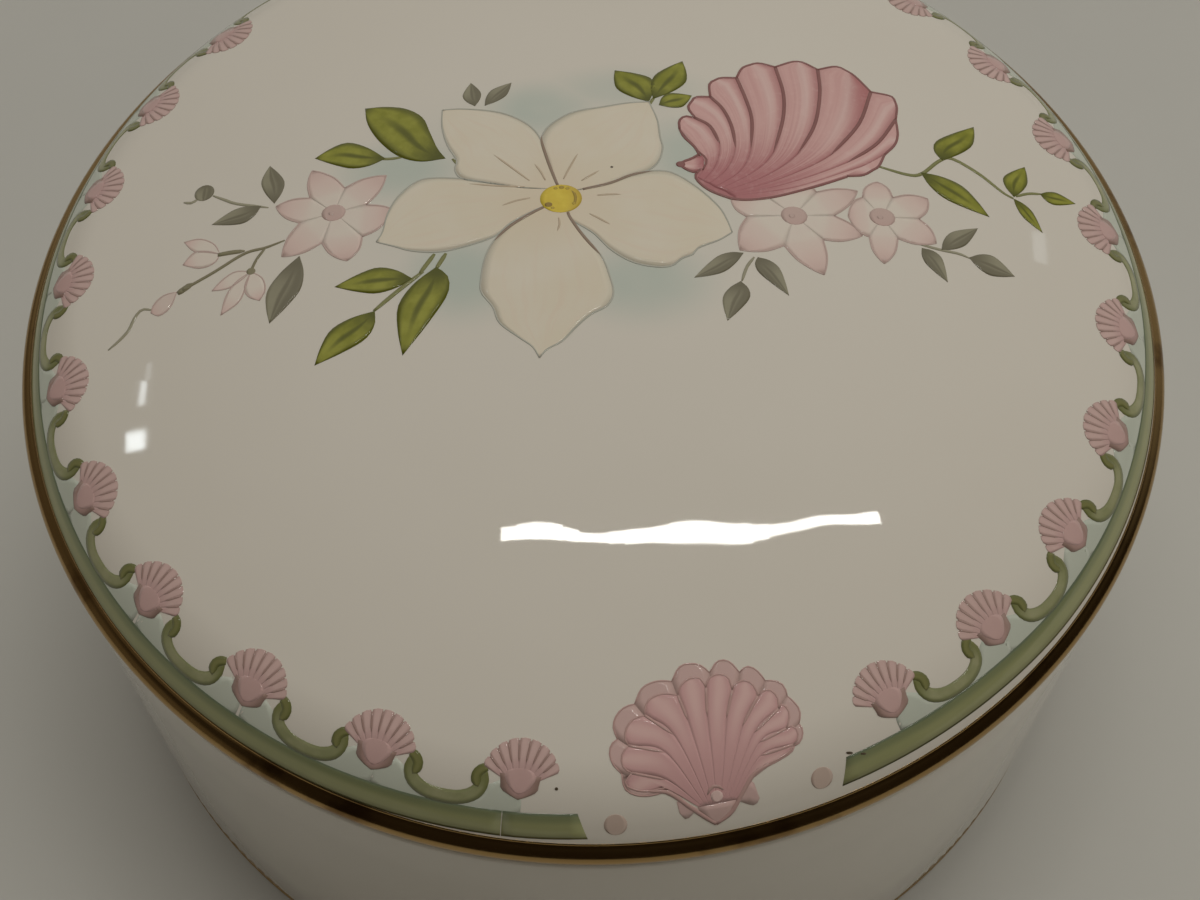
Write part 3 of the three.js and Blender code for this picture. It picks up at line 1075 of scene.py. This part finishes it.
petals = {
    "upper left": (
        [
            (-3.4, 5.0), (-6.1, 5.2), (-8.8, 5.8), (-11.5, 6.5), (-12.3, 7.6), (-12.2, 8.8), (-13.1, 10.7),
            (-13.7, 13.0), (-13.8, 15.3),
        ],
        [
            (-3.0, 5.2), (-3.4, 6.3), (-4.0, 8.3), (-4.6, 10.8), (-5.5, 12.5), (-7.1, 13.9), (-9.1, 14.8),
            (-11.9, 15.3), (-13.8, 15.3),
        ],
    ),
    "upper right": (
        [
            (-3.0, 5.2), (-3.4, 6.3), (-4.0, 8.6), (-4.6, 10.5), (-4.3, 12.1), (-3.1, 13.5), (-1.5, 14.5),
            (1.0, 15.1), (3.2, 15.6), (5.2, 15.8),
        ],
        [
            (-2.0, 4.7), (-0.6, 5.0), (1.5, 5.6), (3.5, 6.6), (5.0, 7.2), (5.9, 8.3), (6.3, 9.9),
            (6.1, 11.3), (5.9, 13.5), (5.2, 15.8),
        ],
    ),
    "right": (
        [
            (-2.0, 4.7), (-0.6, 5.0), (1.5, 5.6), (3.5, 6.6), (5.3, 7.1), (7.1, 6.9), (9.2, 5.3),
            (11.0, 3.2), (11.7, 1.7), (12.1, 0.3),
        ],
        [
            (-2.3, 2.6), (-1.9, 1.5), (0.0, 0.0), (1.5, -1.8), (3.3, -3.1), (5.2, -3.6), (6.7, -3.5),
            (7.6, -2.7), (8.6, -2.2), (9.1, -1.5), (10.9, -0.6), (12.1, 0.3),
        ],
    ),
    "lower": (
        [
            (-4.0, 3.0), (-5.3, 2.3), (-7.2, 0.9), (-8.6, -0.7), (-9.3, -2.5), (-9.6, -4.8), (-9.5, -6.1),
            (-8.5, -7.6), (-7.9, -9.2), (-6.2, -10.7), (-5.1, -11.6), (-4.5, -12.7),
        ],
        [
            (-2.4, 2.8), (-1.9, 1.5), (-0.8, -0.4), (0.7, -2.5), (1.4, -4.6), (1.7, -6.4), (1.1, -7.7),
            (-0.2, -8.5), (-1.5, -9.8), (-2.6, -11.1), (-3.9, -11.9), (-4.5, -12.7),
        ],
    ),
    "left": (
        [
            (-3.4, 5.0), (-6.1, 5.2), (-8.8, 5.8), (-11.5, 6.5), (-14.3, 6.8), (-15.8, 6.4), (-17.3, 4.8),
            (-18.1, 2.9), (-18.4, 1.0), (-18.9, -0.1),
        ],
        [
            (-4.2, 3.1), (-5.3, 2.5), (-7.2, 1.2), (-8.6, -0.2), (-11.3, -1.2), (-13.5, -1.6),
            (-15.8, -1.3), (-17.3, -0.7), (-18.9, -0.1),
        ],
    ),
}
flower = new_design()
flower_pen = new_design()
for number, (left, right) in enumerate(petals.values()):
    add_shape(flower, left, right, rows=36, columns=14, part=number * 7.3, layer=0.3 + 0.2 * number)
    add_stroke(flower_pen, left, 0.15, part=0.4, layer=1.5, ends=(0.3, 0.8))
    add_stroke(flower_pen, right, 0.15, part=0.4, layer=1.5, ends=(0.3, 0.8))
disc(flower, (-3.1, 4.0), 3.0, 2.4, part=40.0, layer=0.1)
fire(drawn_object("cream_petals", flower), cream)

for vein in (
    [(-8.9, 9.3), (-7.7, 8.1), (-5.6, 6.0)], [(-5.2, 8.0), (-4.6, 7.0), (-4.2, 6.0)],
    [(-1.3, 9.2), (-2.0, 7.6), (-2.6, 6.1)], [(0.6, 7.1), (-0.2, 6.5), (-1.0, 5.9)],
    [(2.5, 4.3), (1.5, 4.3), (0.4, 4.2)], [(1.5, 0.9), (0.5, 1.6), (-0.3, 2.1)],
    [(-8.0, 3.2), (-6.8, 3.7), (-5.5, 4.0)], [(-3.1, 0.2), (-2.9, 1.0), (-3.0, 1.7)],
    [(-11.0, 5.9), (-8.4, 5.5), (-6.0, 5.3)],
):
    add_stroke(flower_pen, vein, 0.19, part=0.15, layer=1.7, ends=(0.0, 0.5))
for shade in (
    [(-2.2, 2.3), (-1.9, 1.5), (-0.8, -0.4), (0.7, -2.5)],
    [(-4.3, 2.9), (-5.3, 2.3), (-7.2, 0.9), (-8.6, -0.7)],
    [(-3.1, 5.4), (-3.4, 6.3), (-4.0, 8.3), (-4.6, 10.8), (-4.5, 11.6)],
    [(-0.9, 4.9), (1.5, 5.6), (3.5, 6.6), (5.4, 7.1)],
):
    add_stroke(flower_pen, shade, 0.28, part=0.9, layer=1.8, ends=(0.9, 0.0))
pen, tree, shader, place = enamel("pen line enamel")
part = drawn(tree, "part")
ink = blend(clouds(place, 0.004), (0.43, 0.43, 0.37), (0.57, 0.57, 0.50))
ink = blend(fade(part, 0.5, 0.9), ink, (0.33, 0.25, 0.19))
ink = blend(fade(part, 0.3, 0.15), ink, (0.60, 0.49, 0.36))
coloured(shader, ink)
fire(drawn_object("cream_petal_lines", flower_pen), pen)

yellow, tree, shader, place = enamel("yellow eye enamel")
across, part = drawn(tree, "across", "part")
pollen = clouds(place, 0.0008, detail=2.0)
body = blend(pollen, (0.68, 0.50, 0.05), (0.82, 0.66, 0.09))
shadow = times(fade(across, 0.2, 1.0), 0.6)
body = blend(shadow, body, (0.52, 0.36, 0.07))
coloured(shader, blend(part, body, (0.30, 0.20, 0.06)))
eye_design = new_design()
eye_middle = Vector((-2.8, 3.85))
disc(eye_design, eye_middle, 1.85, 1.60, layer=3, rows=16, columns=8)
for angle, size, depth in (
    (64, 0.15, 0.5), (88, 0.19, 0.65), (112, 0.15, 0.5), (212, 0.27, 0.9), (236, 0.14, 0.5),
    (334, 0.15, 0.5),
):
    disc(
        eye_design, eye_middle + ring_point(angle, 1.28), size * 1.3, size, part=depth, layer=4, rows=5,
        columns=4,
    )
add_stroke(
    eye_design, [eye_middle + ring_point(angle, 1.30) for angle in (-38, -8, 22, 46)], 0.26, part=0.7,
    layer=4, ends=(0.0, 0.0),
)
fire(drawn_object("flower_eye", eye_design), yellow)

# ---------------------------------------------------------------- pink flowers
# Three small pink stars flank the pale flower. Each petal is palest at the eye and dusky at its
# tip, with a mauve pen line round it, and the eye is a dusky ring with a dark middle.
pink, tree, shader, place = enamel("pink petal enamel")
across, along, part = drawn(tree, "across", "along", "part")
wash = clouds(place, 0.002)
body = blend(fade(along, 0.48, 0.95), (0.775, 0.705, 0.625), (0.740, 0.565, 0.515))
body = blend(times(fade(wash, 0.35, 0.75), 0.4), body, (0.765, 0.640, 0.585))
body = blend(times(fade(along, 0.80, 1.0), 0.6), body, (0.620, 0.460, 0.420))
rim = times(fade(unsigned(across), 0.7, 1.0), fade(along, 0.55, 0.75))
body = blend(times(rim, 0.35), body, (0.70, 0.52, 0.48))
body = blend(part, body, (0.55, 0.375, 0.345))
coloured(shader, body)

mauve, tree, shader, place = enamel("mauve pen enamel")
coloured(shader, blend(clouds(place, 0.003), (0.54, 0.40, 0.36), (0.64, 0.49, 0.45)))

star_petals = new_design()
star_pen = new_design()


def star(centre, tips, notches, eye_size, layer):
    """Petals from the eye to each tip, with a notch before and after it, and their outlines."""
    centre = Vector(centre)
    notches = [Vector(notch) for notch in notches]
    for number, tip in enumerate(tips):
        tip = Vector(tip)
        before = notches[number - 1]
        after = notches[number]
        feet = []
        ends = []
        for notch in (before, after):
            out = (notch - centre).normalized()
            feet.append([centre, centre.lerp(notch, 0.5), notch])
            ends.append([notch.lerp(tip, 0.35) + out * 0.42, notch.lerp(tip, 0.72) + out * 0.30])
            add_stroke(star_pen, [notch, *ends[-1], tip], 0.16, layer=layer + 0.8, ends=(0.7, 0.7))
        add_rib(star_petals, feet, ends, tip, 10, 8, 0.0, layer)
    disc(star_petals, centre, eye_size, eye_size * 0.85, part=0.75, layer=layer + 1.2, rows=8, columns=6)
    disc(
        star_pen, centre + Vector((-0.2, -0.05)), eye_size * 0.25, eye_size * 0.2, layer=layer + 2.2,
        rows=4, columns=3,
    )


star(
    (-23.0, 3.6), [(-25.4, 8.9), (-18.5, 7.5), (-17.5, 3.3), (-21.4, -1.9), (-27.3, -0.8), (-28.4, 5.0)],
    [(-22.2, 6.4), (-20.1, 4.2), (-20.2, 0.6), (-23.8, 0.3), (-26.0, 2.8), (-25.3, 5.6)], 1.1, 0,
)
star(
    (17.7, 2.5), [(12.2, 4.2), (12.7, -1.6), (19.9, -3.8), (23.7, 0.8), (23.7, 5.9), (17.5, 7.2)],
    [(13.5, 2.1), (16.6, -0.9), (20.1, 0.0), (21.3, 2.8), (19.9, 5.4), (14.5, 5.2)], 1.2, 0,
)
star(
    (25.7, 3.1), [(25.6, 7.2), (30.2, 5.8), (30.4, 0.7), (25.4, -2.1), (22.6, 2.9)],
    [(26.9, 5.5), (29.1, 3.3), (26.9, 0.8), (24.3, 0.7), (24.1, 5.2)], 1.2, 0.4,
)

# ---------------------------------------------------------------- leaves
# Olive leaves and smaller grey ones are laid in with a loaded brush, darkest at the foot and along
# the midrib and edges, with thin stems in the same two colours.
olive, tree, shader, place = enamel("olive leaf enamel")
across, along, part = drawn(tree, "across", "along", "part")
wash = clouds(place, 0.002)
light = blend(fade(wash, 0.3, 0.7), (0.240, 0.250, 0.022), (0.345, 0.350, 0.050))
foot = fade(plus(along, times(wash, 0.2)), 0.55, 0.15)
rim = fade(unsigned(across), 0.55, 0.95)
rib = times(fade(unsigned(across), 0.28, 0.04), fade(along, 0.85, 0.5))
dark = most(foot, times(rim, 0.85), times(rib, 0.85))
dark = most(dark, fade(along, 0.85, 1.0))
body = blend(dark, light, (0.100, 0.108, 0.012))
body = blend(part, body, (0.26, 0.265, 0.115))
coloured(shader, body)

grey, tree, shader, place = enamel("grey leaf enamel")
across, along, part = drawn(tree, "across", "along", "part")
wash = clouds(place, 0.002)
light = blend(wash, (0.270, 0.255, 0.175), (0.370, 0.350, 0.250))
foot = fade(along, 0.6, 0.1)
rib = fade(unsigned(across), 0.30, 0.05)
side = times(fade(across, -0.1, 0.5), 0.7)
dark = most(times(foot, 0.8), times(rib, 0.7), side)
body = blend(dark, light, (0.150, 0.135, 0.088))
body = blend(part, body, (0.38, 0.36, 0.26))
coloured(shader, body)

olive_leaves = new_design()
grey_leaves = new_design()


def leaf(design, base, tip, sides):
    """A leaf from base to tip that passes through a point on each side."""
    base = Vector(base)
    tip = Vector(tip)
    middle = base.lerp(tip, 0.45)
    lines = []
    for side in sides:
        side = Vector(side)
        full = side - middle
        lines.append(
            [base, base.lerp(middle, 0.45) + full * 0.70, side, middle.lerp(tip, 0.5) + full * 0.62, tip]
        )
    add_shape(design, *lines, rows=14, columns=8, layer=0.5)


for base, tip, sides in (
    ((-18.7, 9.6), (-25.3, 10.4), ((-22.4, 12.0), (-21.7, 8.7))),
    ((-15.5, -4.3), (-22.3, -4.6), ((-18.7, -2.9), (-18.6, -5.6))),
    ((-13.5, -3.2), (-16.0, -12.0), ((-16.6, -7.0), (-12.4, -6.1))),
    ((-18.6, -7.4), (-23.5, -12.4), ((-22.3, -9.0), (-19.3, -10.2))),
    ((5.2, 15.8), (2.1, 20.1), ((2.3, 17.5), (5.5, 19.0))),
    ((5.6, 16.2), (8.5, 21.6), ((5.8, 19.4), (8.7, 18.6))),
    ((6.1, 15.4), (9.2, 16.8), ((7.0, 17.0), (8.2, 15.2))),
    ((32.2, 10.8), (36.0, 15.9), ((31.9, 13.2), (35.4, 13.2))),
    ((29.9, 9.0), (35.9, 4.5), ((33.7, 7.9), (31.8, 6.1))),
    ((38.7, 7.4), (40.4, 11.5), ((38.0, 9.7), (40.3, 9.3))),
    ((41.4, 8.3), (44.9, 7.8), ((43.1, 8.8), (42.6, 7.2))),
    ((38.6, 7.2), (40.9, 3.5), ((40.2, 6.0), (39.2, 5.1))),
):
    leaf(olive_leaves, base, tip, sides)
add_shape(
    olive_leaves,
    [
        (-13.2, 9.1), (-14.0, 10.4), (-14.8, 12.5), (-15.6, 14.5), (-17.2, 15.8), (-19.2, 16.3),
        (-21.1, 16.3),
    ],
    [(-13.2, 9.1), (-15.5, 8.9), (-17.6, 9.8), (-19.5, 11.9), (-20.7, 14.2), (-21.1, 16.3)], 22, 10, 0.0,
    0.5,
)
for points, width in (
    ([(-12.6, 9.0), (-11.9, 8.1), (-11.2, 7.2)], 0.3), ([(-12.7, -1.8), (-13.1, -2.6), (-13.5, -3.4)], 0.4),
    ([(-13.7, -1.8), (-14.3, -2.8), (-14.9, -3.8)], 0.4),
    ([(-14.6, -3.6), (-16.6, -5.4), (-18.7, -7.4)], 0.4),
    (
        [
            (25.8, 9.2), (28.6, 8.5), (30.0, 8.8), (31.9, 10.7), (33.2, 11.2), (35.6, 9.7), (37.6, 7.8),
            (38.6, 7.2),
        ],
        0.36,
    ),
    ([(38.9, 7.5), (40.2, 8.1), (41.5, 8.3)], 0.3), ([(4.9, 14.6), (5.3, 15.6), (5.8, 16.6)], 0.3),
    ([(-19.3, 9.6), (-18.2, 9.5), (-17.2, 9.6)], 0.3),
):
    add_stroke(olive_leaves, points, width, part=0.9, layer=0.2, ends=(0.6, 0.6))
fire(drawn_object("olive_leaves", olive_leaves), olive)

for base, tip, sides in (
    ((-10.8, 15.6), (-11.3, 18.8), ((-12.0, 17.0), (-10.3, 17.3))),
    ((-9.9, 15.6), (-7.5, 18.6), ((-9.4, 17.6), (-8.0, 16.8))),
    ((-28.6, 5.4), (-29.5, 10.1), ((-30.1, 8.0), (-27.9, 7.9))),
    ((-29.8, 5.3), (-34.3, 3.8), ((-32.2, 5.3), (-31.3, 3.5))),
    ((-25.7, -0.9), (-27.8, -7.8), ((-28.3, -4.4), (-25.3, -4.5))),
    ((13.0, -1.9), (8.6, -4.7), ((10.8, -2.3), (11.2, -4.0))),
    ((12.6, -4.9), (11.3, -9.0), ((11.0, -6.6), (13.3, -6.6))),
    ((14.2, -2.3), (16.7, -6.2), ((16.0, -3.3), (14.2, -3.9))),
    ((30.8, 0.0), (34.6, 3.0), ((31.9, 2.1), (33.1, 0.8))),
    ((29.0, 0.0), (31.0, -3.5), ((30.7, -0.8), (29.2, -1.7))),
    ((33.3, -0.5), (37.4, -2.0), ((35.6, 0.0), (35.0, -2.2))),
):
    leaf(grey_leaves, base, tip, sides)
disc(grey_leaves, (-35.5, 7.8), 0.95, 0.95, layer=1)
for points, width in (
    ([(-36.0, 7.2), (-36.6, 6.8), (-37.4, 7.0)], 0.3),
    ([(-34.6, 7.3), (-33.4, 6.6), (-32.1, 5.9), (-29.1, 5.0)], 0.3),
    ([(13.9, -2.3), (13.2, -3.4), (12.7, -4.9)], 0.28),
    ([(28.8, 0.4), (30.8, 0.0), (32.4, -0.2), (33.4, -0.6)], 0.28),
    ([(-38.8, -4.9), (-39.8, -4.7), (-40.4, -5.5), (-40.8, -6.7), (-41.5, -7.6), (-42.5, -8.5)], 0.30),
):
    add_stroke(grey_leaves, points, width, part=0.9, layer=0.4, ends=(0.5, 0.4))
fire(drawn_object("grey_leaves", grey_leaves), grey)

# ---------------------------------------------------------------- buds
# At the far left a thin dark stem carries two pink buds and a closed one. The buds are loose
# overlapping petals, and their foot is a dark calyx.
for left, right, depth in (
    (
        [(-33.1, 0.3), (-33.8, 1.5), (-35.2, 2.3), (-36.7, 2.2)],
        [(-33.1, 0.3), (-34.4, 0.7), (-35.6, 1.0), (-36.7, 2.2)], 0.0,
    ),
    (
        [(-33.1, 0.3), (-34.4, 0.8), (-35.6, 0.8), (-36.5, -0.4)],
        [(-33.1, 0.3), (-33.5, -0.6), (-34.8, -1.0), (-36.5, -0.4)], 0.0,
    ),
    (
        [(-30.0, -2.1), (-31.4, -1.9), (-32.5, -2.6), (-33.4, -3.7)],
        [(-30.0, -2.1), (-30.8, -2.9), (-31.9, -3.6), (-33.4, -3.7)], 0.0,
    ),
    (
        [(-30.0, -2.1), (-31.2, -3.0), (-32.0, -4.4), (-32.3, -6.4)],
        [(-30.0, -2.1), (-30.3, -3.6), (-30.8, -5.2), (-32.3, -6.4)], 0.0,
    ),
    (
        [(-30.0, -2.1), (-30.4, -3.6), (-30.0, -4.7), (-28.9, -5.3)],
        [(-30.0, -2.1), (-28.9, -2.9), (-28.5, -4.2), (-28.9, -5.3)], 0.0,
    ),
    (
        [(-36.7, -3.3), (-37.9, -3.5), (-38.7, -4.3), (-38.9, -5.2)],
        [(-36.7, -3.3), (-37.1, -4.8), (-38.0, -5.6), (-38.9, -5.2)], 0.3,
    ),
):
    add_shape(star_petals, left, right, rows=12, columns=6, part=depth, layer=0.5)
    for side in (left, right):
        add_stroke(star_pen, side, 0.12, layer=1.3, ends=(0.4, 0.4))
fire(drawn_object("pink_flowers", star_petals), pink)
fire(drawn_object("pink_lines", star_pen), mauve)
bud_stem, tree, shader, place = enamel("dark stem enamel")
coloured(shader, blend(clouds(place, 0.003), (0.20, 0.175, 0.10), (0.33, 0.31, 0.20)))
stems = new_design()
for points, width, ends in (
    ([(-27.2, 1.0), (-28.9, 0.4), (-30.8, 0.0), (-33.5, -1.7), (-36.2, -3.2)], 0.30, (0.4, 1.0)),
    ([(-28.9, 0.4), (-29.6, -0.8), (-30.0, -2.0)], 0.26, (0.5, 1.0)),
    ([(-30.8, 0.3), (-32.2, 0.3), (-33.3, 0.2)], 0.45, (0.3, 0.9)),
    ([(-35.3, -2.6), (-35.9, -3.0), (-36.6, -3.5)], 0.62, (0.3, 0.7)),
):
    add_stroke(stems, points, width, layer=1.5, ends=ends)
disc(stems, (-30.0, -2.05), 0.42, 0.38, layer=2, rows=5, columns=4)
fire(drawn_object("bud_stems", stems), bud_stem)

# ---------------------------------------------------------------- large scallop
# The deep rose scallop at the right of the spray is the strongest colour on the lid. Nine swelling
# ribs sweep up from a dark hinge. Each has a light crest, and its right side falls into a dark groove.
rose, tree, shader, place = enamel("rose shell enamel")
across, along, part = drawn(tree, "across", "along", "part")
lines_across = node(
    tree, "ShaderNodeCombineXYZ", {0: times(across, 2.2), 1: times(along, 0.8), 2: times(part, 5.0)},
)
brushwork = node(
    tree, "ShaderNodeTexNoise", {"Vector": lines_across.outputs[0], "Scale": 3.0, "Detail": 4.0},
).outputs["Fac"]
stipple = clouds(place, 0.0006, detail=2.0)
mid = blend(fade(brushwork, 0.3, 0.7), (0.665, 0.390, 0.375), (0.715, 0.450, 0.430))
crest = fade(unsigned(calc("SUBTRACT", across, 0.22)), 0.42, 0.02)
crest = times(crest, fade(along, 0.25, 0.6), calc("MULTIPLY_ADD", brushwork, 0.4, 0.5))
lit = blend(crest, mid, (0.765, 0.560, 0.530))
groove_side = fade(across, 0.42, 0.98)
deep = blend(groove_side, lit, (0.50, 0.235, 0.235))
left_side = times(fade(across, -0.62, -1.0), 0.5)
deep = blend(left_side, deep, (0.55, 0.30, 0.29))
hinge_tone = plus(along, calc("MULTIPLY_ADD", brushwork, 0.3, -0.15))
hinged = blend(times(fade(hinge_tone, 0.46, 0.06), 0.95), deep, (0.465, 0.180, 0.195))
sixth = calc("COMPARE", part, 5.0, 0.5)
burgundy = times(fade(across, -0.1, 0.7), fade(along, 0.45, 0.75), sixth)
hinged = blend(times(burgundy, 0.80), hinged, (0.475, 0.180, 0.185))
hinged = blend(calc("LESS_THAN", part, -0.5), hinged, (0.455, 0.190, 0.200))
tipped = blend(times(fade(along, 0.90, 1.0), 0.55), hinged, (0.50, 0.29, 0.275))
grained = blend(times(fade(stipple, 0.5, 0.8), 0.15), tipped, (0.86, 0.66, 0.63))
coloured(shader, grained)

grooves = [
    [(9.3, 6.4), (9.9, 7.5), (9.9, 8.8), (8.9, 10.6), (7.9, 12.3)],
    [(9.8, 6.0), (11.0, 8.0), (11.5, 10.6), (10.7, 12.8), (9.4, 13.8)],
    [(10.3, 5.7), (12.0, 7.6), (12.9, 10.2), (12.7, 12.8), (12.0, 15.1), (10.9, 16.7)],
    [(10.8, 5.3), (13.2, 7.4), (14.3, 10.2), (14.6, 13.9), (14.2, 16.6), (13.5, 19.5)],
    [(11.2, 5.1), (14.2, 7.2), (16.3, 9.8), (17.5, 14.2), (17.8, 17.7), (17.3, 21.4)],
    [(11.6, 4.9), (15.4, 6.9), (18.5, 9.8), (20.4, 13.7), (21.3, 18.1), (21.4, 21.5)],
    [(11.9, 4.7), (16.4, 6.5), (21.5, 9.9), (24.6, 14.3), (26.3, 19.0)],
    [(12.1, 4.5), (17.2, 6.1), (23.0, 9.2), (26.1, 12.0), (28.3, 15.5)],
    [(12.3, 4.4), (17.8, 5.7), (23.0, 8.2), (25.0, 9.3), (26.7, 10.7)],
    [(12.5, 4.2), (14.5, 4.1), (17.5, 5.1), (20.0, 6.2), (22.9, 7.6)],
]
rib_tops = [
    [(7.9, 13.3), (8.6, 14.0)], [(8.8, 15.1), (9.6, 16.6)], [(10.9, 18.4), (12.1, 19.4)],
    [(14.1, 20.9), (15.8, 21.8)], [(18.9, 22.3), (20.2, 22.3)], [(23.2, 22.2), (25.0, 21.0)],
    [(28.2, 18.7), (28.6, 17.1)], [(28.3, 14.0), (27.8, 12.1)], [(26.0, 9.2), (24.4, 7.9)],
]
shell = new_design()
shell_lines = new_design()
for number, (low, high, top) in enumerate(zip(grooves, grooves[1:], rib_tops)):
    crown = (Vector(top[0]) + Vector(top[1])) / 2
    crown += (crown - Vector(low[1])).normalized() * 0.16
    lines = [[Vector(point) for point in line] for line in (low, high)]
    add_rib(shell, lines, [[Vector(top[0])], [Vector(top[1])]], crown, 33, 12, float(number), 2)
    add_stroke(shell_lines, [low[-1], top[0], crown, top[1], high[-1]], 0.24, layer=2.6, ends=(0.9, 0.9))
    if 0 < number < 8:
        add_stroke(shell_lines, low[:1:-1], 0.34, layer=2.5, ends=(1.0, 0.0))
hinge_outline = [(9.6, 7.5), (9.1, 6.5), (9.9, 5.3), (11.2, 4.5), (13.0, 4.0)]
add_shape(
    shell, hinge_outline, [(9.9, 7.6), (9.7, 6.5), (10.6, 5.6), (11.8, 4.9), (13.0, 4.3)], rows=10,
    columns=4, part=-1.0, layer=1.8,
)
add_shape(
    shell, [(9.95, 9.2), (8.9, 8.7), (7.8, 8.0)], [(9.95, 7.2), (8.6, 7.2), (7.8, 8.0)], rows=8, columns=4,
    part=3.0, layer=1.5,
)
for line, width in (
    ([(7.9, 12.3), (8.3, 11.3), (9.2, 10.1), (9.6, 9.0)], 0.26),
    ([(9.6, 9.3), (8.9, 8.7), (7.8, 8.0), (8.6, 7.2), (9.3, 7.0)], 0.26),
    (
        [
            (9.6, 7.4), (9.1, 6.5), (9.9, 5.3), (11.2, 4.5), (13.0, 4.0), (16.0, 4.5), (20.0, 6.1),
            (22.9, 7.5),
        ],
        0.26,
    ),
    ([(9.4, 9.7), (10.2, 8.6), (9.8, 7.3)], 0.2),
):
    add_stroke(shell_lines, line, width, layer=2.8, ends=(0.7, 0.7))
disc(shell_lines, (7.85, 7.95), 0.42, 0.34, layer=3.0, rows=8, columns=4)
shell_ink, tree, shader, place = enamel("shell line enamel")
coloured(shader, blend(clouds(place, 0.003), (0.235, 0.100, 0.095), (0.350, 0.165, 0.155)))
fire(drawn_object("large_scallop", shell), rose)
fire(drawn_object("large_scallop_lines", shell_lines), shell_ink)

# ---------------------------------------------------------------- kiln specks
# A few black and brown specks were fired into the enamel by accident, as they are on most printed china.
speck, tree, shader, place = enamel("kiln speck")
coloured(shader, blend(clouds(place, 0.001), (0.03, 0.03, 0.02), (0.16, 0.12, 0.08)))
specks = new_design()
for spot, wide, high in (
    ((19.9, -45.55), 0.30, 0.10), ((21.1, -45.6), 0.26, 0.09), ((-3.05, -48.4), 0.13, 0.12),
    ((1.7, 7.5), 0.13, 0.11),
):
    disc(specks, spot, wide, high, layer=2.5, rows=6, columns=4)
fire(drawn_object("kiln_specks", specks), speck)
